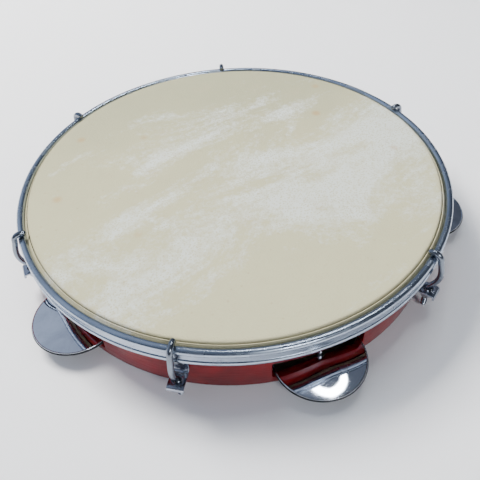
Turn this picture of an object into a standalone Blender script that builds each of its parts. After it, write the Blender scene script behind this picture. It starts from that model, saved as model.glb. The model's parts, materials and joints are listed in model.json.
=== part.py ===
"""A rod-tuned hand drum with jingles (pandeiro): shell, skin, hoops, six tension rods and five jingle sets."""

from math import cos, pi, radians, sin, tau

import bmesh
import bpy
from mathutils import Matrix, Vector

MM = 0.001

# Driving sizes, in metres. Heights are above the surface that the drum stands on.
GAP = 0.3 * MM  # left between pieces that touch
RING_STEPS = 60  # facets round the drum

# The shell stands a little off the origin, because the jingles stick out unevenly
# and the origin is under the middle of the whole outline.
SHELL_AXIS = (-9.2 * MM, 2.1 * MM)

SHELL_RADIUS = 152.4 * MM  # a 12 inch shell
SHELL_WALL = 5.0 * MM
SHELL_TOP = 49.6 * MM
EDGE_ROUND = 0.8 * MM

SKIN_THICK = 0.6 * MM
SKIN_CORNER = 1.6 * MM

HOOP_RADIUS = 158.6 * MM  # centre of the two beads
BEAD_RADIUS = 2.65 * MM
UPPER_BEAD_HEIGHT = 47.7 * MM
LOWER_BEAD_HEIGHT = 39.3 * MM
BEAD_STEPS = 8

FLESH_WIRE = 1.5 * MM
FLESH_HEIGHT = 43.5 * MM

# The six rods' places round the drum, in degrees anticlockwise from +X.
# The last stretch, between rods 5 and 6, is the grip and has no jingles.
ROD_ANGLES = (-104.5, -37.9, 26.8, 91.9, 146.0, 200.9)
JINGLE_ANGLES = (-71.4, -5.3, 59.4, 119.0, -138.8)  # one set in each of the other stretches
ROD_RADIUS = 2.0 * MM
ROD_LINE = 161.0 * MM  # distance of the thread from the shell's axis
ROD_FOOT = 2.5 * MM
LOOP_RADIUS = 5.15 * MM  # the hook's bend over the bead
THREAD_CLEARANCE = 0.3 * MM

STRAP = 1.5 * MM
STRAP_WIDTH = 11.0 * MM
STRAP_TOP = 40.0 * MM
SHELF_HEIGHT = 19.0 * MM
SHELF_END = 168.0 * MM
LIP_DROP = 4.0 * MM
SHELF_HOLE = 3.5 * MM
RIVET_HEIGHT = 27.5 * MM
RIVET_RADIUS = 2.0 * MM
RIVET_HEAD = 3.5 * MM

WASHER_RADIUS = 4.9 * MM
WASHER_THICK = 1.0 * MM
NUT_FLATS = 7.0 * MM
NUT_THICK = 3.2 * MM

PIN_LINE = SHELL_RADIUS - SHELL_WALL / 2
PIN_RADIUS = 1.5 * MM
PIN_FOOT = 0.6 * MM
PIN_TOP = 27.0 * MM
SLOT_WIDTH = 64.0 * MM
SLOT_BOTTOM = 6.0 * MM
SLOT_TOP = 22.0 * MM

JINGLE_RADIUS = 30.1 * MM
JINGLE_SHEET = 0.6 * MM
JINGLE_STEPS = 20
DISH_DEPTH = 3.2 * MM
DAMPER_RADIUS = 30.6 * MM

# Sizes that follow from those above.
SKIN_INSIDE = SHELL_RADIUS + GAP + 0.05 * MM
FLESH_RADIUS = SKIN_INSIDE + SKIN_THICK + GAP + FLESH_WIRE
SKIN_TOP = SHELL_TOP + GAP + SKIN_THICK
JINGLE_HEIGHT = DISH_DEPTH + JINGLE_SHEET
LOWER_JINGLE_BASE = SLOT_BOTTOM + GAP
DAMPER_BASE = LOWER_JINGLE_BASE + JINGLE_HEIGHT + GAP
UPPER_JINGLE_BASE = DAMPER_BASE + JINGLE_SHEET + GAP
WASHER_BASE = SHELF_HEIGHT - STRAP - GAP - WASHER_THICK
NUT_BASE = WASHER_BASE - GAP - NUT_THICK


def clear_scene():
    for thing in list(bpy.data.objects):
        bpy.data.objects.remove(thing, do_unlink=True)


def material(name, colour, roughness, metallic=0.0):
    made = bpy.data.materials.new(name)
    made.use_nodes = True
    shader = made.node_tree.nodes["Principled BSDF"]
    shader.inputs["Base Color"].default_value = (*colour, 1.0)
    shader.inputs["Roughness"].default_value = roughness
    shader.inputs["Metallic"].default_value = metallic
    return made


def arc(centre, radius, start, end, steps):
    """Points on an arc in the profile plane, from start to end in degrees."""
    turns = [radians(start + (end - start) * i / steps) for i in range(steps + 1)]
    return [(centre[0] + radius * cos(t), centre[1] + radius * sin(t)) for t in turns]


def finish_mesh(name, bm):
    """The closed mesh of bm, with its faces pointing out and round faces smooth."""
    bmesh.ops.remove_doubles(bm, verts=bm.verts, dist=1e-6)
    bmesh.ops.recalc_face_normals(bm, faces=bm.faces)
    mesh = bpy.data.meshes.new(name)
    bm.to_mesh(mesh)
    bm.free()
    mesh.shade_smooth()
    mesh.set_sharp_from_angle(angle=radians(40))
    return mesh


def turned_mesh(name, profile, steps, closed=True):
    """A profile of (radius, height) points spun about Z. An open profile ends on the axis."""
    bm = bmesh.new()
    verts = [bm.verts.new((r, 0, z)) for r, z in profile]
    edges = [bm.edges.new(pair) for pair in zip(verts, verts[1:])]
    if closed:
        edges.append(bm.edges.new((verts[-1], verts[0])))
    bmesh.ops.spin(
        bm,
        geom=verts + edges,
        cent=(0, 0, 0),
        axis=(0, 0, 1),
        angle=tau,
        steps=steps,
        use_merge=True,
    )
    return finish_mesh(name, bm)


def extruded_mesh(name, outline, width):
    """An outline of (x, z) points given a width along Y, centred on Y = 0."""
    bm = bmesh.new()
    verts = [bm.verts.new((x, -width / 2, z)) for x, z in outline]
    face = bm.faces.new(verts)
    made = bmesh.ops.extrude_face_region(bm, geom=[face])
    moved = [v for v in made["geom"] if isinstance(v, bmesh.types.BMVert)]
    bmesh.ops.translate(bm, verts=moved, vec=(0, width, 0))
    return finish_mesh(name, bm)


def cylinder_mesh(name, radius, length, steps, turn=None):
    """A cylinder along Z from 0 to length, or along turn @ Z."""
    bm = bmesh.new()
    centre = Matrix.Translation((0, 0, length / 2))
    bmesh.ops.create_cone(
        bm,
        cap_ends=True,
        segments=steps,
        radius1=radius,
        radius2=radius,
        depth=length,
        matrix=(turn or Matrix.Identity(4)) @ centre,
    )
    return finish_mesh(name, bm)


def place(name, mesh, finish, root, radius=0.0, angle=0.0, height=0.0):
    """A new object at a radius and an angle in degrees round the shell's axis, its X pointing outward."""
    thing = bpy.data.objects.new(name, mesh)
    bpy.context.scene.collection.objects.link(thing)
    turn = radians(angle)
    thing.location = (radius * cos(turn), radius * sin(turn), height)
    thing.rotation_euler.z = turn
    thing.parent = root
    if finish and not mesh.materials:
        mesh.materials.append(finish)
    return thing


def cut(thing, cutters):
    """Takes the cutters' shapes out of the object and removes them."""
    for cutter in cutters:
        modifier = thing.modifiers.new(cutter.name, "BOOLEAN")
        modifier.operation = "DIFFERENCE"
        modifier.solver = "EXACT"
        modifier.object = cutter
    graph = bpy.context.evaluated_depsgraph_get()
    mesh = bpy.data.meshes.new_from_object(thing.evaluated_get(graph))
    thing.modifiers.clear()
    thing.data = mesh
    for cutter in cutters:
        bpy.data.objects.remove(cutter)
    mesh.shade_smooth()
    mesh.set_sharp_from_angle(angle=radians(40))


def along_x():
    """Turns a cylinder made along Z so that it runs outward, along X."""
    return Matrix.Rotation(pi / 2, 4, "Y")


# The shell and the skin.


def make_shell(root, finish):
    """A bent wooden ring with five jingle slots, the pins' holes and the rivets' holes."""
    inner = SHELL_RADIUS - SHELL_WALL
    profile = [
        (inner + EDGE_ROUND, 0),
        (SHELL_RADIUS - EDGE_ROUND, 0),
        (SHELL_RADIUS, EDGE_ROUND),
        (SHELL_RADIUS, SHELL_TOP - EDGE_ROUND),
        (SHELL_RADIUS - 0.3 * EDGE_ROUND, SHELL_TOP - 0.3 * EDGE_ROUND),
        (SHELL_RADIUS - EDGE_ROUND, SHELL_TOP),
        (inner + 2 * EDGE_ROUND, SHELL_TOP),
        (inner, SHELL_TOP - 2 * EDGE_ROUND),
        (inner, EDGE_ROUND),
    ]
    shell = place("shell", turned_mesh("shell", profile, RING_STEPS), finish, root)
    reach = 4 * SHELL_WALL
    outline = [
        (-reach / 2, SLOT_BOTTOM),
        (reach / 2, SLOT_BOTTOM),
        (reach / 2, SLOT_TOP),
        (-reach / 2, SLOT_TOP),
    ]
    slot = extruded_mesh("slot", outline, SLOT_WIDTH)
    pin_hole = cylinder_mesh("pin_hole", PIN_RADIUS + GAP, PIN_TOP + GAP + MM, 10)
    rivet_hole = cylinder_mesh("rivet_hole", RIVET_RADIUS + GAP, reach, 12, along_x())
    cutters = []
    for angle in JINGLE_ANGLES:
        cutters.append(place("slot_cutter", slot, None, root, PIN_LINE, angle))
        cutters.append(place("pin_cutter", pin_hole, None, root, PIN_LINE, angle, -MM))
    for angle in ROD_ANGLES:
        start = PIN_LINE - reach / 2
        cutters.append(place("rivet_cutter", rivet_hole, None, root, start, angle, RIVET_HEIGHT))
    cut(shell, cutters)


def make_drumhead(root, finish):
    """The skin: flat over the shell's edge, down outside it, and lapped round the flesh hoop."""
    outside = SKIN_INSIDE + SKIN_THICK
    corner = (outside - SKIN_CORNER, SKIN_TOP - SKIN_CORNER)
    ring = (FLESH_RADIUS, FLESH_HEIGHT)
    lap = FLESH_WIRE + GAP
    profile = [(0, SKIN_TOP)]
    profile += arc(corner, SKIN_CORNER, 90, 0, 2)
    profile += arc(ring, lap, 180, 405, 5)
    profile += arc(ring, lap + SKIN_THICK, 405, 180, 5)
    profile += arc(corner, SKIN_CORNER - SKIN_THICK, 0, 90, 2)
    profile += [(0, SKIN_TOP - SKIN_THICK)]
    place("drumhead", turned_mesh("drumhead", profile, RING_STEPS, closed=False), finish, root)


def make_flesh_hoop(root, finish):
    """The wire ring that the skin is lapped round."""
    profile = arc((FLESH_RADIUS, FLESH_HEIGHT), FLESH_WIRE, 0, 300, 5)
    place("flesh_hoop", turned_mesh("flesh_hoop", profile, RING_STEPS), finish, root)


def make_counter_hoop(root, finish):
    """The steel hoop: two round beads joined by a web set back between them."""
    step = 360 / BEAD_STEPS
    upper = arc((HOOP_RADIUS, UPPER_BEAD_HEIGHT), BEAD_RADIUS, -step, 270, BEAD_STEPS - 1)
    lower = arc((HOOP_RADIUS, LOWER_BEAD_HEIGHT), BEAD_RADIUS, 90, 360 + step, BEAD_STEPS - 1)
    place("counter_hoop", turned_mesh("counter_hoop", upper + lower, RING_STEPS), finish, root)


# The tension rods and what holds them.


def strap_outline():
    """The lug's side view: a leg on the shell, a shelf and a lip, bent from one strap."""
    back = SHELL_RADIUS + GAP - ROD_LINE
    end = SHELF_END - ROD_LINE
    bend = 3.5 * MM
    lip = 2.5 * MM
    outline = [(back, STRAP_TOP)]
    outline += arc((back + STRAP + bend, SHELF_HEIGHT + bend), bend + STRAP, 180, 270, 4)
    outline += arc((end - lip, SHELF_HEIGHT - lip), lip - STRAP, 90, 0, 2)
    outline += [(end - STRAP, SHELF_HEIGHT - LIP_DROP), (end, SHELF_HEIGHT - LIP_DROP)]
    outline += arc((end - lip, SHELF_HEIGHT - lip), lip, 0, 90, 3)
    outline += arc((back + STRAP + bend, SHELF_HEIGHT + bend), bend, 270, 180, 3)
    outline += [(back + STRAP, STRAP_TOP)]
    return outline


def make_lugs(root, finish):
    """Six strap brackets, each with a shelf hole for the rod and a hole for the rivet."""
    pattern = place("lug_pattern", extruded_mesh("lug", strap_outline(), STRAP_WIDTH), finish, root)
    shelf_hole = cylinder_mesh("shelf_hole", SHELF_HOLE, 4 * STRAP, 16)
    rivet_hole = cylinder_mesh("lug_rivet_hole", RIVET_RADIUS + GAP, 4 * STRAP, 12, along_x())
    leg = SHELL_RADIUS - ROD_LINE - STRAP
    cutters = [
        place("shelf_cutter", shelf_hole, None, root, height=SHELF_HEIGHT - 2.5 * STRAP),
        place("leg_cutter", rivet_hole, None, root, leg, 0, RIVET_HEIGHT),
    ]
    cut(pattern, cutters)
    mesh = pattern.data
    bpy.data.objects.remove(pattern)
    for number, angle in enumerate(ROD_ANGLES, 1):
        place(f"lug_{number}", mesh, finish, root, ROD_LINE, angle)


def make_rivets(root, finish):
    """Six rivets through lug and shell, each with a domed head outside and a clinched one inside."""
    inside = SHELL_RADIUS - SHELL_WALL - 2 * GAP
    outside = SHELL_RADIUS + GAP + STRAP + GAP
    length = outside - inside
    head = 1.4 * MM
    profile = [
        (0, -head),
        (0.8 * RIVET_HEAD, -head),
        (RIVET_HEAD, -0.5 * head),
        (RIVET_HEAD, 0),
        (RIVET_RADIUS, 0),
        (RIVET_RADIUS, length),
        (RIVET_HEAD, length),
        (0.6 * RIVET_HEAD, length + 0.8 * head),
        (0, length + head),
    ]
    mesh = turned_mesh("rivet", profile, 12, closed=False)
    mesh.transform(along_x())
    for number, angle in enumerate(ROD_ANGLES, 1):
        place(f"lug_rivet_{number}", mesh, finish, root, inside, angle, RIVET_HEIGHT)


def hook_path():
    """The rod's centre line, from the hook's tip over the upper bead to the thread's foot."""
    bead = (HOOP_RADIUS - ROD_LINE, UPPER_BEAD_HEIGHT)
    over = arc(bead, LOOP_RADIUS, 110, 0, 5)
    first = over[0]
    reach = 2.3 * MM
    tip = (first[0] - reach * sin(radians(110)), first[1] + reach * cos(radians(110)))
    leg = [
        (4.0 * MM, 43.0 * MM),
        (5.0 * MM, 38.5 * MM),
        (5.2 * MM, 34.0 * MM),
        (4.4 * MM, 29.8 * MM),
        (2.7 * MM, 26.0 * MM),
        (1.0 * MM, 23.0 * MM),
        (0.2 * MM, 21.2 * MM),
        (0.0, 19.5 * MM),
        (0.0, ROD_FOOT),
    ]
    return [tip] + over + leg


def make_hooks(root, finish):
    """Six hooked rods, threaded at the foot. Each object's origin is on its thread."""
    curve = bpy.data.curves.new("tension_hook", "CURVE")
    curve.dimensions = "3D"
    curve.bevel_depth = ROD_RADIUS
    curve.bevel_resolution = 2
    curve.use_fill_caps = True
    path = hook_path()
    spline = curve.splines.new("POLY")
    spline.points.add(len(path) - 1)
    for point, (x, z) in zip(spline.points, path):
        point.co = (x, 0, z, 1)
    spline.use_smooth = True
    for number, angle in enumerate(ROD_ANGLES, 1):
        place(f"tension_hook_{number}", curve, finish, root, ROD_LINE, angle)


def make_washers(root, finish):
    """Six plain washers, which carry the nuts across the wide holes in the shelves."""
    bore = ROD_RADIUS + THREAD_CLEARANCE
    profile = [(bore, 0), (WASHER_RADIUS, 0), (WASHER_RADIUS, WASHER_THICK), (bore, WASHER_THICK)]
    mesh = turned_mesh("washer", profile, 16)
    for number, angle in enumerate(ROD_ANGLES, 1):
        place(f"nut_washer_{number}", mesh, finish, root, ROD_LINE, angle, WASHER_BASE)


def make_nuts(root, finish):
    """Six hexagon nuts on the threads, under the shelves."""
    corner = NUT_FLATS / 2 / cos(radians(30))
    pattern = place("nut_pattern", cylinder_mesh("nut", corner, NUT_THICK, 6), finish, root)
    bore = cylinder_mesh("nut_bore", ROD_RADIUS + THREAD_CLEARANCE, 3 * NUT_THICK, 12)
    cut(pattern, [place("bore_cutter", bore, None, root, height=-NUT_THICK)])
    mesh = pattern.data
    bpy.data.objects.remove(pattern)
    for number, angle in enumerate(ROD_ANGLES, 1):
        place(f"tension_nut_{number}", mesh, finish, root, ROD_LINE, angle, NUT_BASE)


# The jingles.


def jingle_mesh():
    """A pressed disc, dished so that its middle stands above its rim."""
    reaches = (PIN_RADIUS + GAP, 0.4 * JINGLE_RADIUS, 0.7 * JINGLE_RADIUS, JINGLE_RADIUS)
    under = [(r, DISH_DEPTH * (1 - (r / JINGLE_RADIUS) ** 2)) for r in reaches]
    over = [(r, z + JINGLE_SHEET) for r, z in reversed(under)]
    return turned_mesh("jingle", under + over, JINGLE_STEPS)


def make_jingles(root, finish, dull, wire):
    """Five sets on pins: two dished discs with their hollow sides together and a flat damper between."""
    upright = jingle_mesh()
    turned = upright.copy()
    turned.transform(Matrix.Rotation(pi, 4, "X"))
    hole = PIN_RADIUS + GAP
    flat = [(hole, 0), (DAMPER_RADIUS, 0), (DAMPER_RADIUS, JINGLE_SHEET), (hole, JINGLE_SHEET)]
    damper = turned_mesh("damper", flat, JINGLE_STEPS)
    length = PIN_TOP - PIN_FOOT
    nail = [
        (0, 0),
        (PIN_RADIUS, 0),
        (PIN_RADIUS, length - PIN_RADIUS),
        (0.4 * PIN_RADIUS, length),
        (0, length),
    ]
    pin = turned_mesh("pin", nail, 10, closed=False)
    for number, angle in enumerate(JINGLE_ANGLES, 1):
        lower_top = LOWER_JINGLE_BASE + JINGLE_HEIGHT
        place(f"jingle_pin_{number}", pin, wire, root, PIN_LINE, angle, PIN_FOOT)
        place(f"lower_jingle_{number}", turned, finish, root, PIN_LINE, angle, lower_top)
        place(f"damper_disc_{number}", damper, dull, root, PIN_LINE, angle, DAMPER_BASE)
        place(f"upper_jingle_{number}", upright, finish, root, PIN_LINE, angle, UPPER_JINGLE_BASE)


def main():
    clear_scene()
    root = bpy.data.objects.new("pandeiro", None)
    bpy.context.scene.collection.objects.link(root)
    root.location = (*SHELL_AXIS, 0)
    red = material("red_lacquer", (0.30, 0.012, 0.016), 0.22)
    hide = material("goat_skin", (0.72, 0.67, 0.54), 0.6)
    plated = material("plated_steel", (0.62, 0.66, 0.72), 0.2, 1.0)
    wire = material("steel_wire", (0.45, 0.45, 0.47), 0.35, 1.0)
    nickel = material("polished_nickel", (0.72, 0.73, 0.76), 0.15, 1.0)
    dull = material("dull_nickel", (0.6, 0.6, 0.62), 0.35, 1.0)
    make_shell(root, red)
    make_drumhead(root, hide)
    make_flesh_hoop(root, wire)
    make_counter_hoop(root, plated)
    make_lugs(root, plated)
    make_rivets(root, plated)
    make_hooks(root, plated)
    make_washers(root, plated)
    make_nuts(root, plated)
    make_jingles(root, nickel, dull, wire)


main()
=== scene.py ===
"""The looks of a pandeiro: a 12 inch rod-tuned hand drum with five sets of jingles."""

import json
from math import atan2, cos, hypot, pi, radians, sin, sqrt, tan, tau

import bmesh
import bpy
import numpy as np
from mathutils import Matrix, Vector


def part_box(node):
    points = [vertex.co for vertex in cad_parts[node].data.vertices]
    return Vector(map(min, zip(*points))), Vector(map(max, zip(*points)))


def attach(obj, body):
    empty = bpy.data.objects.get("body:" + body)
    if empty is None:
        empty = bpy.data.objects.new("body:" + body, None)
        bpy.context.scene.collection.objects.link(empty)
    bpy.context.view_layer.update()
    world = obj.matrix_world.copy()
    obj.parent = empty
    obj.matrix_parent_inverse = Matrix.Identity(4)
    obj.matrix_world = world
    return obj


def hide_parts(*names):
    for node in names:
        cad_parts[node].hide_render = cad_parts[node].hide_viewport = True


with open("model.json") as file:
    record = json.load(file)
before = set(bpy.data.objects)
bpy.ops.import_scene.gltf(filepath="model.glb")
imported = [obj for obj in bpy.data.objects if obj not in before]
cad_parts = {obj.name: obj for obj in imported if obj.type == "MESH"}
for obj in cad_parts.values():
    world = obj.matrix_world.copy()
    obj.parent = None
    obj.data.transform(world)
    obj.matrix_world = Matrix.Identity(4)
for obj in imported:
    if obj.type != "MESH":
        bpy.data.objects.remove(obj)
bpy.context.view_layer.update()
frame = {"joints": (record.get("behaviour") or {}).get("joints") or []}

MM = 0.001
SHARP = radians(35)
CUT_SHARP = radians(50)


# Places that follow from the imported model.


def middle(node):
    low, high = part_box(node)
    return (low + high) / 2


SHELL_LOW, SHELL_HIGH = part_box("shell")
AXIS = Vector((*middle("shell").xy, 0))
SHELL_RADIUS = (SHELL_HIGH.x - SHELL_LOW.x) / 2
SHELL_TOP = SHELL_HIGH.z
SHELL_WALL = 5.0 * MM
SKIN_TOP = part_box("drumhead")[1].z
WIRE_CENTRE = (SHELL_RADIUS + 2.75 * MM, 43.5 * MM)
HOOP_LOW, HOOP_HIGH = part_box("counter_hoop")
BEAD_RADIUS = 2.65 * MM
HOOP_RADIUS = (HOOP_HIGH.x - HOOP_LOW.x) / 2 - BEAD_RADIUS
UPPER_BEAD = HOOP_HIGH.z - BEAD_RADIUS
LOWER_BEAD = HOOP_LOW.z + BEAD_RADIUS


def places(start):
    """(number, angle round the shell's axis, distance from it) of each joint whose name starts so."""
    found = []
    for joint in frame["joints"]:
        if joint["name"].startswith(start):
            off = Vector(joint["pos_m"]) - AXIS
            found.append((int(joint["name"][len(start):]), atan2(off.y, off.x), hypot(off.x, off.y)))
    return found


RODS = places("nut_turn_")
PINS = places("jingle_spin_")
ROD_LINE = RODS[0][2]
RIVET_HOLE = 2.3 * MM
PIN_RADIUS = 1.5 * MM
PIN_HOLE = 1.8 * MM
JINGLE_SHEET = 0.6 * MM


# Mesh tools. A profile or a path is a list of (x, z) points in metres.


def arc(centre, radius, start, end, steps):
    """Points on an arc between two angles in degrees, from +X towards +Z."""
    turns = np.radians(np.linspace(start, end, steps + 1))
    return [(centre[0] + radius * cos(t), centre[1] + radius * sin(t)) for t in turns]


def rounded(points, radii, closed=True, steps=5):
    """The outline with each corner replaced by a round of about that radius, where it fits."""
    made = []
    count = len(points)
    sizes = radii if hasattr(radii, "__len__") else [radii] * count
    for i, point in enumerate(points):
        if sizes[i] == 0 or (not closed and i in (0, count - 1)):
            made.append(tuple(point))
            continue
        here = Vector(point)
        before = Vector(points[i - 1]) - here
        after = Vector(points[(i + 1) % count]) - here
        half = before.angle(after) / 2
        reach = min(sizes[i] / max(tan(half), 0.05), 0.48 * before.length, 0.48 * after.length)
        first = here + reach * before.normalized()
        last = here + reach * after.normalized()
        for t in (step / steps for step in range(steps + 1)):
            made.append(tuple(first * (1 - t) ** 2 + here * 2 * t * (1 - t) + last * t**2))
    return made


def piece(name, mesh, material, body, nodes, angle=0.0, radius=0.0, height=0.0, turn=None):
    """An object at a place round the shell's axis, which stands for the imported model's nodes.

    Its X axis points outward, or stands at the turn that is given."""
    thing = bpy.data.objects.new(name, mesh)
    bpy.context.scene.collection.objects.link(thing)
    thing.location = AXIS + Vector((radius * cos(angle), radius * sin(angle), height))
    thing.rotation_euler.z = angle if turn is None else turn
    if not mesh.materials:
        mesh.materials.append(material)
    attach(thing, body)
    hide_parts(*nodes)
    return thing


def clean_mesh(name, bm):
    bmesh.ops.remove_doubles(bm, verts=bm.verts, dist=1e-7)
    bmesh.ops.recalc_face_normals(bm, faces=bm.faces)
    mesh = bpy.data.meshes.new(name)
    bm.to_mesh(mesh)
    bm.free()
    mesh.shade_smooth()
    mesh.set_sharp_from_angle(angle=SHARP)
    return mesh


def loft(name, rings, around=True, ring_closed=True):
    """A mesh through rings of points. around joins the last ring to the first, else both ends are capped."""
    rings = np.asarray(rings, float)
    rows, points = rings.shape[:2]
    bm = bmesh.new()
    verts = [[bm.verts.new(p) for p in ring] for ring in rings]
    for i in range(rows if around else rows - 1):
        a, b = verts[i], verts[(i + 1) % rows]
        for j in range(points if ring_closed else points - 1):
            k = (j + 1) % points
            bm.faces.new((a[j], a[k], b[k], b[j]))
    if not around:
        bm.faces.new(verts[0])
        bm.faces.new(verts[-1])
    return clean_mesh(name, bm)


def turned(name, profile, steps, closed=True, change=None):
    """The profile turned about Z. change(radii, heights, angle) may move its points at each angle."""
    radii, heights = np.array(profile).T
    rings = []
    for turn in np.arange(steps) * tau / steps:
        r, z = change(radii.copy(), heights.copy(), turn) if change else (radii, heights)
        rings.append(np.stack([r * cos(turn), r * sin(turn), z], 1))
    return loft(name, rings, ring_closed=closed)


def smooth_path(points, spacing):
    """A smooth curve through the points, as points about spacing apart, and how far along it each lies."""
    p = np.array(points, float)
    p = np.vstack([2 * p[0] - p[1], p, 2 * p[-1] - p[-2]])
    fine = []
    for a, b, c, d in zip(p, p[1:], p[2:], p[3:]):
        for t in np.linspace(0, 1, 24, endpoint=False):
            fine.append(0.5 * (2 * b + (c - a) * t + (2 * a - 5 * b + 4 * c - d) * t**2
                               + (3 * b - a - 3 * c + d) * t**3))
    fine = np.array(fine + [p[-2]])
    along = np.concatenate([[0], np.cumsum(np.linalg.norm(np.diff(fine, axis=0), axis=1))])
    stops = np.linspace(0, along[-1], int(along[-1] / spacing) + 1)
    return np.stack([np.interp(stops, along, fine[:, i]) for i in (0, 1)], 1), stops


def swept(name, path, section):
    """A bar along a path in the X-Z plane. section(i) gives its (sideways, outward) points at point i."""
    ahead = np.gradient(path, axis=0)
    ahead /= np.linalg.norm(ahead, axis=1)[:, None]
    rings = []
    for i, ((x, z), (dx, dz)) in enumerate(zip(path, ahead)):
        side, out = np.array(section(i)).T
        rings.append(np.stack([x - out * dz, side, z + out * dx], 1))
    return loft(name, rings, around=False)


def waves(angle, seed, count, lowest):
    """A smooth random wave round a ring, between about -1 and 1, of count waves from lowest a turn upward."""
    rng = np.random.default_rng(seed)
    total = 0.0
    for number in range(count):
        total += rng.normal() * sin((lowest + number) * angle + rng.uniform(0, tau))
    return total / sqrt(count)


def prism(name, outline, width):
    """An outline in the X-Z plane, widened along Y."""
    rings = [[(x, y, z) for x, z in outline] for y in (-width / 2, width / 2)]
    return loft(name, rings, around=False)


def rod_along(name, radius, length, steps, along="Z"):
    """A round rod from the origin, along Z or X."""
    turn = Matrix.Rotation(pi / 2, 3, "Y") if along == "X" else Matrix.Identity(3)
    rings = []
    for z in (0, length):
        rings.append([turn @ Vector((radius * cos(t), radius * sin(t), z))
                      for t in np.arange(steps) * tau / steps])
    return loft(name, rings, around=False)


def cut(mesh, cutters, edge):
    """The mesh less the cutters' shapes, each (mesh, matrix), with its sharp edges taken off by edge."""
    thing = bpy.data.objects.new("cut", mesh)
    bpy.context.scene.collection.objects.link(thing)
    tools = []
    for shape, matrix in cutters:
        tool = bpy.data.objects.new("tool", shape)
        bpy.context.scene.collection.objects.link(tool)
        tool.matrix_world = matrix
        step = thing.modifiers.new("cut", "BOOLEAN")
        step.operation = "DIFFERENCE"
        step.solver = "EXACT"
        step.object = tool
        tools.append(tool)
    bevel = thing.modifiers.new("edge", "BEVEL")
    bevel.limit_method = "ANGLE"
    bevel.angle_limit = CUT_SHARP
    bevel.width = edge
    bevel.segments = 2
    bpy.context.view_layer.update()
    graph = bpy.context.evaluated_depsgraph_get()
    made = bpy.data.meshes.new_from_object(thing.evaluated_get(graph))
    for tool in [thing, *tools]:
        bpy.data.objects.remove(tool)
    made.shade_smooth()
    made.set_sharp_from_angle(angle=SHARP)
    return made


# Materials. Each is built from nodes on the object's own coordinates, so that scales are features a metre.


class Look:
    """A Principled material and short names for the nodes that feed it."""

    def __init__(self, name, roughness=0.5, metallic=0.0, **fixed):
        self.material = bpy.data.materials.new(name)
        self.material.use_nodes = True
        self.tree = self.material.node_tree
        self.shader = self.tree.nodes["Principled BSDF"]
        self.shader.inputs["Roughness"].default_value = roughness
        self.shader.inputs["Metallic"].default_value = metallic
        for socket, value in fixed.items():
            self.shader.inputs[socket.replace("_", " ")].default_value = value
        self.place = self.tree.nodes.new("ShaderNodeTexCoord").outputs["Object"]

    def node(self, kind, inputs=(), **settings):
        made = self.tree.nodes.new("ShaderNode" + kind)
        for name, value in settings.items():
            setattr(made, name, value)
        for socket, value in dict(inputs).items():
            self.feed(made.inputs[socket], value)
        return made

    def feed(self, socket, value):
        if isinstance(value, bpy.types.NodeSocket):
            self.tree.links.new(value, socket)
        else:
            socket.default_value = value

    def set(self, socket, value):
        self.feed(self.shader.inputs[socket], value)

    def noise(self, scale, detail=4.0, roughness=0.5, place=None, distortion=0.0):
        inputs = {"Vector": place or self.place, "Scale": scale, "Detail": detail,
                  "Roughness": roughness, "Distortion": distortion}
        return self.node("TexNoise", inputs).outputs["Fac"]

    def cells(self, scale, place=None):
        """The distance from the nearest of many scattered points."""
        return self.node("TexVoronoi", {"Vector": place or self.place, "Scale": scale}).outputs["Distance"]

    def moved(self, scale=(1, 1, 1), turn=0.0, shift=(0, 0, 0)):
        """The place turned about Z first, then stretched and shifted."""
        first = self.node("Mapping", {"Vector": self.place, "Rotation": (0, 0, turn)})
        inputs = {"Vector": first.outputs["Vector"], "Scale": scale, "Location": shift}
        return self.node("Mapping", inputs).outputs["Vector"]

    def level(self, value, low, high, to_low=0.0, to_high=1.0):
        """The value's stretch from low to high, eased into the stretch from to_low to to_high."""
        inputs = {"Value": value, "From Min": low, "From Max": high, "To Min": to_low, "To Max": to_high}
        made = self.node("MapRange", inputs, clamp=True, interpolation_type="SMOOTHSTEP")
        return made.outputs["Result"]

    def maths(self, operation, a, b=0.0):
        made = self.node("Math", operation=operation)
        self.feed(made.inputs[0], a)
        self.feed(made.inputs[1], b)
        return made.outputs[0]

    def add(self, a, b):
        return self.maths("ADD", a, b)

    def times(self, a, b):
        return self.maths("MULTIPLY", a, b)

    def blend(self, share, a, b):
        made = self.node("Mix", data_type="RGBA")
        self.feed(made.inputs["Factor"], share)
        self.feed(made.inputs["A"], a if isinstance(a, bpy.types.NodeSocket) else (*a, 1))
        self.feed(made.inputs["B"], b if isinstance(b, bpy.types.NodeSocket) else (*b, 1))
        return made.outputs["Result"]

    def parts(self):
        made = self.node("SeparateXYZ", {"Vector": self.place})
        return made.outputs["X"], made.outputs["Y"], made.outputs["Z"]

    def radius(self):
        x, y, _ = self.parts()
        return self.maths("SQRT", self.add(self.times(x, x), self.times(y, y)))

    def round_place(self, around, along, out):
        """Coordinates that run round the Z axis: angle, height and radius, each with its own scale."""
        x, y, z = self.parts()
        made = self.node("CombineXYZ")
        self.feed(made.inputs[0], self.times(self.maths("ARCTAN2", y, x), around))
        self.feed(made.inputs[1], self.times(z, along))
        self.feed(made.inputs[2], self.times(self.radius(), out))
        return made.outputs[0]

    def bump(self, height, distance, strength=1.0, under=None):
        inputs = {"Height": height, "Distance": distance, "Strength": strength}
        if under:
            inputs["Normal"] = under
        return self.node("Bump", inputs).outputs["Normal"]


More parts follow.
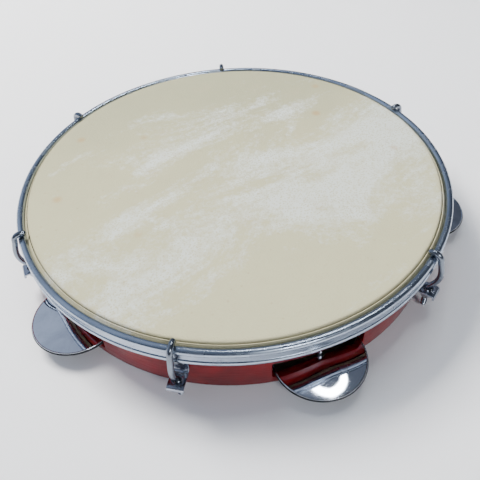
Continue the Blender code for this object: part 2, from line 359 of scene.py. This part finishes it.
def red_lacquer():
    """Stained wood under a clear gloss: grain round the shell, a little orange peel."""
    dark_red, red, grain_brown = (0.16, 0.002, 0.004), (0.26, 0.004, 0.006), (0.06, 0.001, 0.002)
    look = Look("red_lacquer", 0.35, Coat_Weight=0.6, Coat_Roughness=0.08, Coat_IOR=1.4,
                Specular_IOR_Level=0.2)
    grain = look.noise(1.0, 6, 0.6, look.round_place(14, 900, 120))
    broad = look.noise(1.0, 3, 0.5, look.round_place(5, 40, 30))
    stain = look.blend(look.level(broad, 0.3, 0.7), dark_red, red)
    look.set("Base Color", look.blend(look.level(grain, 0.52, 0.75, 0, 0.55), stain, grain_brown))
    look.set("Roughness", look.level(grain, 0.3, 0.7, 0.28, 0.42))
    look.set("Coat Normal", look.bump(look.noise(260, 2), 0.08 * MM, 0.5))
    look.set("Normal", look.bump(grain, 0.10 * MM, 0.6))
    return look.material


def darker_back_share(look):
    """The share of a darker tone, which grows unevenly towards the back."""
    x, y, _ = look.parts()
    slope = look.add(look.times(x, -0.25), look.times(y, 0.9))
    return look.level(look.add(look.times(slope, 3.2), look.noise(7.0, 5, 0.55)), 0.2, 1.05)


def hide_powder(look):
    """The share of powder: ragged streaks, thickest along a line that slants across the middle."""
    x, y, _ = look.parts()
    streak = look.noise(14.0, 7, 0.68, look.moved((0.5, 1.2, 1), radians(-34)), 0.5)
    ragged = look.times(look.noise(230, 4, 0.75), 0.30)
    off_line = look.maths("ABSOLUTE", look.add(look.times(x, -0.62), look.add(y, 0.035)))
    patch = look.maths("SUBTRACT", look.add(streak, ragged), look.times(off_line, 1.5))
    return look.level(patch, 0.52, 0.68)


def goat_skin():
    """Natural hide: cream, darker towards the back, powdery pale patches, pores and small stains."""
    cream, darker_back_colour, powdered = (0.51, 0.485, 0.30), (0.38, 0.37, 0.23), (0.66, 0.71, 0.70)
    mottled, stained, dotted = (0.48, 0.40, 0.26), (0.45, 0.25, 0.08), (0.36, 0.27, 0.16)
    rim_colour, rim_start, rim_end = (0.44, 0.37, 0.22), 149.5 * MM, 153.5 * MM
    look = Look("goat_skin", 0.6, Specular_IOR_Level=0.35, Sheen_Weight=0.12, Sheen_Roughness=0.5)
    powder = hide_powder(look)
    pores = look.cells(620)
    stains = look.cells(21, look.moved(turn=0.4, shift=(0.3, 0.1, 0)))
    colour = look.blend(darker_back_share(look), cream, darker_back_colour)
    colour = look.blend(look.times(look.times(powder, look.level(pores, 0.12, 0.5)), 0.7), colour, powdered)
    colour = look.blend(look.level(look.noise(60, 5, 0.65), 0.5, 0.8, 0, 0.35), colour, mottled)
    colour = look.blend(look.level(stains, 0.03, 0.12, 0.55, 0), colour, stained)
    colour = look.blend(look.level(look.cells(130), 0.05, 0.16, 0.35, 0), colour, dotted)
    colour = look.blend(look.level(look.radius(), rim_start, rim_end, 0, 0.35), colour, rim_colour)
    look.set("Base Color", colour)
    look.set("Roughness", look.level(powder, 0, 1, 0.5, 0.75))
    relief = look.bump(look.noise(180, 4, 0.6), 0.12 * MM, 0.6)
    look.set("Normal", look.bump(look.level(pores, 0.0, 0.5), 0.16 * MM, 0.9, relief))
    return look.material


def bright_metal(name, colour, dark, roughness, drawn, wave):
    """Plated steel: fine lines along the piece, a breath of haze and slight waves in the plate.

    drawn(look) gives the stretched coordinates of the lines, and wave is the waves' height."""
    look = Look(name, roughness, metallic=1.0)
    haze = look.noise(70, 2, 0.5)
    lines = look.noise(1.0, 3, 0.6, drawn(look))
    look.set("Base Color", look.blend(look.level(haze, 0.35, 0.75), colour, dark))
    look.set("Roughness", look.times(look.level(haze, 0.3, 0.8, 0.7, 1.5), roughness))
    plate = look.bump(look.noise(120, 2), wave, 0.6)
    look.set("Normal", look.bump(lines, 0.004 * MM, 0.3, plate))
    return look.material


def plated_steel():
    return bright_metal("plated_steel", (0.40, 0.46, 0.55), (0.32, 0.37, 0.45), 0.24,
                        lambda look: look.round_place(3, 2600, 2600), 0.012 * MM)


def strap_steel():
    return bright_metal("strap_steel", (0.42, 0.45, 0.53), (0.28, 0.30, 0.36), 0.24,
                        lambda look: look.moved((300, 2500, 300)), 0.05 * MM)


def rod_steel():
    return bright_metal("rod_steel", (0.24, 0.27, 0.32), (0.16, 0.18, 0.21), 0.22,
                        lambda look: look.moved((900, 900, 60)), 0.02 * MM)


def zinc_fastener():
    return bright_metal("zinc_fastener", (0.44, 0.46, 0.50), (0.26, 0.26, 0.28), 0.3,
                        lambda look: look.moved((900, 900, 900)), 0.04 * MM)


def steel_wire():
    return bright_metal("steel_wire", (0.50, 0.50, 0.53), (0.28, 0.27, 0.27), 0.32,
                        lambda look: look.moved((900, 900, 60)), 0.03 * MM)


def jingle_metal(name, colour, dark, roughness):
    """Pressed and spun sheet: rings of fine tool marks, smudges and slight dents."""
    look = Look(name, roughness, metallic=1.0)
    rings = look.noise(1.0, 5, 0.7, look.round_place(1.5, 200, 2600))
    worn = look.level(look.noise(55, 5, 0.6, distortion=0.4), 0.42, 0.72)
    look.set("Base Color", look.blend(look.times(worn, 0.6), colour, dark))
    uneven = look.add(look.level(rings, 0.3, 0.75, 0.7, 1.5), look.times(worn, 0.8))
    look.set("Roughness", look.times(uneven, roughness))
    dents = look.bump(look.noise(50, 1), 0.03 * MM, 0.4)
    look.set("Normal", look.bump(rings, 0.004 * MM, 0.3, dents))
    return look.material


def polished_nickel():
    return jingle_metal("polished_nickel", (0.60, 0.63, 0.70), (0.42, 0.44, 0.50), 0.03)


# Painted shade: the lower disc is the same sheet as the upper one, made darker to stand for the dark gap
# under the upper disc.
def shade_darkened_nickel():
    return jingle_metal("shade_darkened_nickel", (0.22, 0.22, 0.24), (0.10, 0.10, 0.11), 0.16)


# Painted shade: the damper is nearly black to stand for the dark gap between the two discs.
def dull_nickel():
    return jingle_metal("dull_nickel", (0.055, 0.055, 0.06), (0.03, 0.03, 0.033), 0.35)


# The drum.


def build_shell(lacquer):
    """A bent ring with five slots, a pin's hole up through each slot and a hole for each rivet."""
    inner = SHELL_RADIUS - SHELL_WALL
    outer_edge, bearing_edge = 0.8 * MM, 1.6 * MM
    corners = [(inner, 0), (SHELL_RADIUS, 0), (SHELL_RADIUS, SHELL_TOP), (inner, SHELL_TOP)]
    ring = turned("shell", rounded(corners, [0.9 * MM, 0.9 * MM, outer_edge, bearing_edge]), 240)
    slot_low, slot_high, slot_half, slot_corner = 6.0 * MM, 22.0 * MM, 32.0 * MM, 2.0 * MM
    corners = [(-slot_half, slot_low), (slot_half, slot_low), (slot_half, slot_high), (-slot_half, slot_high)]
    slot = prism("slot", rounded(corners, slot_corner, steps=6), 4 * SHELL_WALL)
    pin_hole_top = 27.3 * MM
    pin_hole = rod_along("pin_hole", PIN_HOLE, pin_hole_top + MM, 20)
    rivet_hole = rod_along("rivet_hole", RIVET_HOLE, 4 * SHELL_WALL, 24, "X")
    cutters = []
    for _, angle, radius in PINS:
        there = Matrix.Rotation(angle, 4, "Z") @ Matrix.Translation((radius, 0, 0))
        cutters.append((slot, there @ Matrix.Rotation(pi / 2, 4, "Z")))
        cutters.append((pin_hole, there @ Matrix.Translation((0, 0, -MM))))
    for number, angle, _ in RODS:
        height = middle(f"lug_rivet_{number}").z
        start = Matrix.Translation((SHELL_RADIUS - 3 * SHELL_WALL, 0, height))
        cutters.append((rivet_hole, Matrix.Rotation(angle, 4, "Z") @ start))
    mesh = cut(ring, cutters, 0.35 * MM)
    piece("shell_lacquered", mesh, lacquer, "drum", ["shell"])


def skin_profile(flat_edge, corner):
    """The skin's section: flat, over the shell's edge, down outside it, lapped round the wire, its end up."""
    thick, lap, flap_thick = 0.6 * MM, 1.8 * MM, 0.45 * MM
    bend = (flat_edge, SKIN_TOP - corner)
    spread = [(r, SKIN_TOP) for r in np.linspace(0, flat_edge, 64)[:-1]]
    wire_x = WIRE_CENTRE[0]
    flap = [(wire_x + 0.75 * MM, 46.1 * MM), (wire_x - 0.5 * MM, 47.5 * MM), (wire_x - 1.3 * MM, 49.1 * MM)]
    outer = spread + arc(bend, corner, 90, 0, 8) + arc(WIRE_CENTRE, lap, 180, 400, 20) + flap
    inner = [(r + flap_thick, z + 0.1 * MM) for r, z in reversed(flap)]
    inner += arc(WIRE_CENTRE, lap + thick, 400, 180, 20) + arc(bend, corner - thick, 0, 90, 8)
    inner += [(r, z - thick) for r, z in reversed(spread)]
    return outer + inner


def build_drumhead(hide):
    """The skin, stretched over the shell, with small tucks where it goes down outside it."""
    corner = 1.6 * MM
    flat_edge = SHELL_RADIUS + 0.95 * MM - corner
    gathers = 14
    rng = np.random.default_rng(5)
    fine = [(rng.integers(18, 70), rng.uniform(0, tau), rng.normal()) for _ in range(gathers)]

    def tucks(radii, heights, angle):
        """Small gathers where the wet hide was tucked, and a slight unevenness of the top."""
        gather = sum(size * sin(number * angle + turn) for number, turn, size in fine) / gathers
        low = np.clip((SKIN_TOP - 1.2 * MM - heights) / (5 * MM), 0, 1) * (radii > flat_edge)
        radii = radii + 0.22 * MM * gather * low
        ripple = 0.5 + 0.5 * np.sin(5 * angle + 60 * radii) * np.cos(3 * angle - 90 * radii)
        heights = heights - 0.10 * MM * ripple * (radii <= flat_edge) * np.sin(pi * radii / flat_edge)
        return radii, heights

    mesh = turned("skin", skin_profile(flat_edge, corner), 288, closed=False, change=tucks)
    skin = piece("skin", mesh, hide, "drum", ["drumhead"])


def build_counter_hoop(steel):
    """Two rolled beads and the web between them, butt welded at the grip side."""
    upper = arc((HOOP_RADIUS, UPPER_BEAD), BEAD_RADIUS, -50, 262, 40)
    lower = arc((HOOP_RADIUS, LOWER_BEAD), BEAD_RADIUS, 98, 410, 40)
    seam = (RODS[4][1] + RODS[5][1]) / 2
    seam_width, seam_depth, unevenness = radians(0.35), 0.16 * MM, 0.03 * MM

    def weld(radii, heights, angle):
        """A narrow sunk line where the hoop's ends meet, and the slight waves of a rolled section."""
        gap = abs((angle - seam + pi) % tau - pi)
        depth = seam_depth * np.exp(-((gap / seam_width) ** 2)) + unevenness * (1 + waves(angle, 3, 9, 20))
        centre = np.where(heights > (UPPER_BEAD + LOWER_BEAD) / 2, UPPER_BEAD, LOWER_BEAD)
        off = np.stack([radii - HOOP_RADIUS, heights - centre])
        off *= 1 - depth / BEAD_RADIUS
        return HOOP_RADIUS + off[0], centre + off[1]

    mesh = turned("hoop", upper + lower, 720, change=weld)
    piece("rolled_hoop", mesh, steel, "drum", ["counter_hoop"])


def build_flesh_hoop(wire_material):
    """The wire ring inside the skin's lap."""
    low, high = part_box("flesh_hoop")
    mesh = turned("wire_ring", arc(WIRE_CENTRE, (high.z - low.z) / 2, 0, 340, 17), 240)
    piece("wire_ring", mesh, wire_material, "drum", ["flesh_hoop"])


# The tension rods and what holds them.


def rounded_section(width, thick, edge):
    x, z = width / 2, thick / 2
    return np.array(rounded([(-x, -z), (x, -z), (x, z), (-x, z)], edge, steps=3))


def build_lugs(steel):
    """Straps bent from strip: leg on the shell, shelf with the rod's hole, short lip."""
    strap, width, tool_length = 1.5 * MM, 11.0 * MM, 6.0 * MM
    top, shelf_top, lip_bottom, lip_outside = 40.0 * MM, 19.0 * MM, 15.0 * MM, 168.0 * MM
    leg_bend, lip_bend = 4.2 * MM, 1.9 * MM
    leg_corner, lip_corner, edge = 2.2 * MM, 1.2 * MM, 0.32 * MM
    back = SHELL_RADIUS + 0.3 * MM + strap / 2 - ROD_LINE
    shelf = shelf_top - strap / 2
    end = lip_outside - strap / 2 - ROD_LINE
    route = rounded([(back, top), (back, shelf), (end, shelf), (end, lip_bottom)],
                    [0, leg_bend, lip_bend, 0], closed=False, steps=12)
    path, along = smooth_path(route, 0.35 * MM)
    plain = rounded_section(width, strap, edge)
    whole = along[-1]

    def section(i):
        """The strip's ends are rounded off in plan and in thickness."""
        inset = min(along[i], whole - along[i])
        corner = leg_corner if along[i] < whole / 2 else lip_corner
        cut_back = corner - sqrt(max(corner**2 - max(corner - inset, 0) ** 2, 0))
        slim = 1 - 0.35 * max(1 - inset / (0.4 * MM), 0)
        shape = plain.copy()
        shape[:, 0] -= np.sign(shape[:, 0]) * cut_back
        shape[:, 1] *= slim
        return shape

    mesh = swept("lug", path, section)
    shelf_hole = rod_along("shelf_hole", 3.5 * MM, tool_length, 40)
    rivet_hole = rod_along("rivet_hole", RIVET_HOLE, tool_length, 32, "X")
    rivet_height = middle("lug_rivet_1").z
    cutters = [(shelf_hole, Matrix.Translation((0, 0, shelf - tool_length / 2))),
               (rivet_hole, Matrix.Translation((back - tool_length / 2, 0, rivet_height)))]
    mesh = cut(mesh, cutters, 0.18 * MM)
    for number, angle, radius in RODS:
        piece(f"strap_{number}", mesh, steel, "drum", [f"lug_{number}"], angle, radius)


def build_rivets(zinc):
    """Domed outside, clinched flat inside."""
    inside = SHELL_RADIUS - SHELL_WALL - 0.6 * MM
    length = SHELL_RADIUS + 2.1 * MM - inside
    head, stem, dome, dimple = 3.5 * MM, 2.0 * MM, 1.35 * MM, 1.2 * MM
    clinched = [(0, -dome), (dimple, -dome), (dimple + 0.1 * MM, -0.9 * dome), (head - 0.6 * MM, -0.8 * dome),
                (head, -0.1 * dome), (head, 0)]
    profile = clinched + [(stem, 0), (stem, length), (head, length)]
    profile += [(head * cos(t), length + dome * sin(t)) for t in np.linspace(0.12, pi / 2, 12)]
    mesh = turned("rivet", profile, 40, closed=False)
    mesh.transform(Matrix.Rotation(pi / 2, 4, "Y"))
    for number, angle, _ in RODS:
        node = f"lug_rivet_{number}"
        piece(f"rivet_{number}", mesh, zinc, "drum", [node], angle, inside, middle(node).z)


def build_hooks(steel):
    """Rods bent over the upper bead, with a blunt rounded nose and a rolled thread at the foot."""
    rod, loop, pitch, thread_depth, thread_top = 2.0 * MM, 5.15 * MM, 0.7 * MM, 0.38 * MM, 20.0 * MM
    nose_at, nose_length, nose_round, foot_taper = 110, 2.3 * MM, 1.6 * MM, 0.7 * MM
    bead = (HOOP_RADIUS - ROD_LINE, UPPER_BEAD)
    over = arc(bead, loop, nose_at, 0, 9)
    tip = (over[0][0] - nose_length * sin(radians(nose_at)), over[0][1] + nose_length * cos(radians(nose_at)))
    leg = [(4.0, 43.0), (5.0, 38.5), (5.2, 34.0), (4.4, 29.8), (2.7, 26.0), (1.0, 23.0), (0.2, 21.2),
           (0, 19.5), (0, 14), (0, 8), (0, 2.5)]
    path, along = smooth_path([tip] + over + [(x * MM, z * MM) for x, z in leg], 0.1 * MM)
    turns = np.arange(24) * tau / 24
    whole = along[-1]

    def section(i):
        nose = min(along[i] / nose_round, 1)
        foot = min((whole - along[i]) / foot_taper, 1)
        size = rod * (0.35 + 0.65 * sqrt(max(1 - (1 - nose) ** 2, 0))) * (0.72 + 0.28 * foot)
        height = path[i][1]
        share = min(max((thread_top - height) / (1.5 * MM), 0), 1) if along[i] > whole / 2 else 0
        groove = 0.5 - 0.5 * np.cos(tau * height / pitch - turns)
        radii = size - thread_depth * share * groove
        return np.stack([radii * np.cos(turns), radii * np.sin(turns)], 1)

    mesh = swept("hook", path, section)
    for number, angle, radius in RODS:
        node = f"tension_hook_{number}"
        piece(f"hook_{number}", mesh, steel, node, [node], angle, radius)


def build_washers(zinc):
    bore, rim, thick = 2.3 * MM, 4.9 * MM, 1.0 * MM
    profile = rounded([(bore, 0), (rim, 0), (rim, thick), (bore, thick)], 0.22 * MM, steps=3)
    mesh = turned("washer", profile, 64)
    for number, angle, radius in RODS:
        node = f"nut_washer_{number}"
        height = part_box(node)[0].z
        piece(f"washer_{number}", mesh, zinc, "drum", [node], angle, radius, height)


def build_nuts(zinc):
    """Hexagon nuts with chamfered corners and a countersunk bore."""
    flats, thick, bore, sink, steps = 7.0 * MM, 3.2 * MM, 2.3 * MM, 0.4 * MM, 96
    side, half_side = radians(60), radians(30)
    rings = []
    for turn in np.arange(steps) * tau / steps:
        off = (turn + half_side) % side - half_side
        rim = flats / 2 / cos(off)
        drop = (rim - flats / 2) * 0.6 + 0.12 * MM
        face = flats / 2 - 0.1 * MM
        profile = [(bore, sink), (bore + sink, 0), (face, 0), (rim, drop), (rim, thick - drop),
                   (face, thick), (bore + sink, thick), (bore, thick - sink)]
        way = turn + half_side
        rings.append([(r * cos(way), r * sin(way), z) for r, z in profile])
    mesh = loft("nut", rings)
    for number, angle, radius in RODS:
        node = f"tension_nut_{number}"
        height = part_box(node)[0].z
        piece(f"nut_{number}", mesh, zinc, node, [node], angle, radius, height)


# The jingles.


def jingle_profile(depth):
    """One pressed sheet, dished so that its middle stands above its rim, which is curled under a little.

    Heights are from the rim."""
    rim, curl = 30.1 * MM, 0.5 * MM
    reaches = [PIN_HOLE + 0.25 * MM] + list(np.linspace(4 * MM, rim - 0.9 * MM, 24))
    over = [(r, JINGLE_SHEET + depth * (1 - (r / rim) ** 1.35)) for r in reversed(reaches)]
    under = [(r, z - JINGLE_SHEET) for r, z in reversed(over)]
    bead = arc((rim - 0.55 * MM, curl), curl, -100, 80, 10)
    burr = [(PIN_HOLE, over[-1][1] - 0.15 * MM), (PIN_HOLE, under[0][1] + 0.1 * MM)]
    return under + bead + over + burr


def pressed(seed, size):
    """A change for turned(): shallow waves that grow towards the rim, as no two pressings are alike."""
    def change(radii, heights, angle):
        lift = size * waves(angle, seed, 4, 2) * (radii / (30 * MM)) ** 2
        return radii, heights + np.clip(lift, -1.6 * size, 0)
    return change


def damper_mesh():
    rim = 30.6 * MM
    profile = rounded([(PIN_HOLE, 0), (rim, 0), (rim, JINGLE_SHEET), (PIN_HOLE, JINGLE_SHEET)],
                      0.25 * MM, steps=3)
    return turned("flat", profile, 128)


def pin_mesh():
    """A round pin with a blunt rounded top."""
    low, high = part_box("jingle_pin_1")
    profile = rounded([(0, low.z), (PIN_RADIUS, low.z), (PIN_RADIUS, high.z), (0, high.z)],
                      [0, 0.3 * MM, 1.1 * MM, 0], closed=False)
    return turned("pin", profile, 32, closed=False)


def build_jingles(nickel, lower_disc_shade, damper_shade, wire_material):
    """Five sets: two dished discs with their hollow sides together and a flat damper between, on a pin."""
    low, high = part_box("upper_jingle_1")
    shape = jingle_profile(high.z - low.z - JINGLE_SHEET - 0.05 * MM)
    damper, pin = damper_mesh(), pin_mesh()
    for number, angle, radius in PINS:
        quarter = number * pi / 2
        upper = turned("upper", shape, 128, change=pressed(number, 0.06 * MM))
        lower = turned("lower", shape, 128, change=pressed(number + 10, 0.09 * MM))
        lower.transform(Matrix.Rotation(pi, 4, "X"))
        node = f"upper_jingle_{number}"
        piece(f"upper_plate_{number}", upper, nickel, node, [node],
              angle, radius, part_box(node)[0].z, quarter)
        node = f"damper_disc_{number}"
        piece(f"damper_plate_{number}", damper, damper_shade, node, [node],
              angle, radius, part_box(node)[0].z, quarter)
        node = f"lower_jingle_{number}"
        piece(f"lower_plate_{number}", lower, lower_disc_shade, node, [node],
              angle, radius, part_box(node)[1].z, quarter)
        node = f"jingle_pin_{number}"
        piece(f"pin_{number}", pin, wire_material, node, [node], angle, radius)


# The studio.


def build_floor():
    half_width, below = 6.0, 0.2 * MM
    bm = bmesh.new()
    bmesh.ops.create_grid(bm, x_segments=1, y_segments=1, size=half_width)
    mesh = bpy.data.meshes.new("floor")
    bm.to_mesh(mesh)
    bm.free()
    look = Look("pale_floor", 0.9, Specular_IOR_Level=0.1)
    look.set("Base Color", (0.93, 0.93, 0.94, 1))
    floor = bpy.data.objects.new("floor", mesh)
    floor.location.z = -below
    mesh.materials.append(look.material)
    bpy.context.scene.collection.objects.link(floor)


def add_area(name, place, width, height, power, colour):
    """A soft lamp that faces the drum."""
    data = bpy.data.lights.new(name, "AREA")
    data.shape = "RECTANGLE"
    data.size = width
    data.size_y = height
    data.energy = power
    data.color = colour
    lamp = bpy.data.objects.new(name, data)
    lamp.location = place
    lamp.rotation_euler = (-Vector(place)).to_track_quat("-Z", "Y").to_euler()
    bpy.context.scene.collection.objects.link(lamp)
    return lamp


def add_ring_lamp(place, radius, thick, strength):
    """A round tube lamp, which the polished jingles mirror as a bright ring."""
    mesh = turned("ring_lamp", arc((radius, 0), thick, 0, 330, 11), 96)
    look = Look("lamp_glass")
    look.set("Base Color", (0, 0, 0, 1))
    look.set("Emission Color", (0.93, 0.97, 1.0, 1))
    look.set("Emission Strength", strength)
    mesh.materials.append(look.material)
    lamp = bpy.data.objects.new("ring_lamp", mesh)
    lamp.location = place
    lamp.visible_camera = False
    bpy.context.scene.collection.objects.link(lamp)


def add_world():
    """Grey-blue, brightest high at the left and back, and dark at the right and front."""
    brightest = (-0.75, 0.35, 0.55)
    dark, between, bright, between_at = (0.09, 0.10, 0.125), (0.18, 0.21, 0.27), (0.62, 0.72, 0.92), 0.55
    world = bpy.data.worlds.new("studio")
    world.use_nodes = True
    nodes, links = world.node_tree.nodes, world.node_tree.links
    way = nodes.new("ShaderNodeTexCoord")
    towards = nodes.new("ShaderNodeVectorMath")
    towards.operation = "DOT_PRODUCT"
    towards.inputs[1].default_value = Vector(brightest).normalized()
    ramp = nodes.new("ShaderNodeValToRGB")
    links.new(way.outputs["Generated"], towards.inputs[0])
    links.new(towards.outputs["Value"], ramp.inputs["Fac"])
    links.new(ramp.outputs["Color"], nodes["Background"].inputs["Color"])
    stops = ramp.color_ramp.elements
    stops[0].color = (*dark, 1)
    stops[1].color = (*bright, 1)
    stops.new(between_at).color = (*between, 1)
    nodes["Background"].inputs["Strength"].default_value = 1.0
    bpy.context.scene.world = world


def add_light():
    """A soft key lamp at the back left, a weak one in front and a ring lamp high over the drum's back."""
    add_world()
    key = add_area("key", (-0.95, 0.85, 1.45), width=0.8, height=0.8, power=85, colour=(1.0, 0.985, 0.96))
    key.visible_glossy = False
    add_area("front", (0.55, -1.3, 1.0), width=0.5, height=0.3, power=9, colour=(0.93, 0.96, 1.0))
    add_ring_lamp(place=(0.245, 0.375, 1.3), radius=0.25, thick=0.026, strength=28)


def add_camera():
    """Looks down at the drum from the front, at 46 degrees, turned a little about its own line of sight."""
    rise, roll, lens = radians(45.892), radians(3.527), 40.34
    from_axis = Vector((2.37, -323.16, 308.42)) * MM
    right = Vector((1, 0, 0))
    up = Vector((0, sin(rise), cos(rise)))
    back = Vector((0, -cos(rise), sin(rise)))
    turn = Matrix((cos(roll) * right - sin(roll) * up, sin(roll) * right + cos(roll) * up, back)).transposed()
    data = bpy.data.cameras.new("camera")
    data.sensor_width = 36.0
    data.lens = lens
    camera = bpy.data.objects.new("camera", data)
    camera.matrix_world = Matrix.Translation(AXIS + from_axis) @ turn.to_4x4()
    bpy.context.scene.collection.objects.link(camera)
    bpy.context.scene.camera = camera


def main():
    zinc, wire_material = zinc_fastener(), steel_wire()
    build_shell(red_lacquer())
    build_drumhead(goat_skin())
    build_counter_hoop(plated_steel())
    build_flesh_hoop(wire_material)
    build_lugs(strap_steel())
    build_rivets(zinc)
    build_hooks(rod_steel())
    build_washers(zinc)
    build_nuts(zinc)
    build_jingles(polished_nickel(), shade_darkened_nickel(), dull_nickel(), wire_material)
    build_floor()
    add_light()
    add_camera()


main()
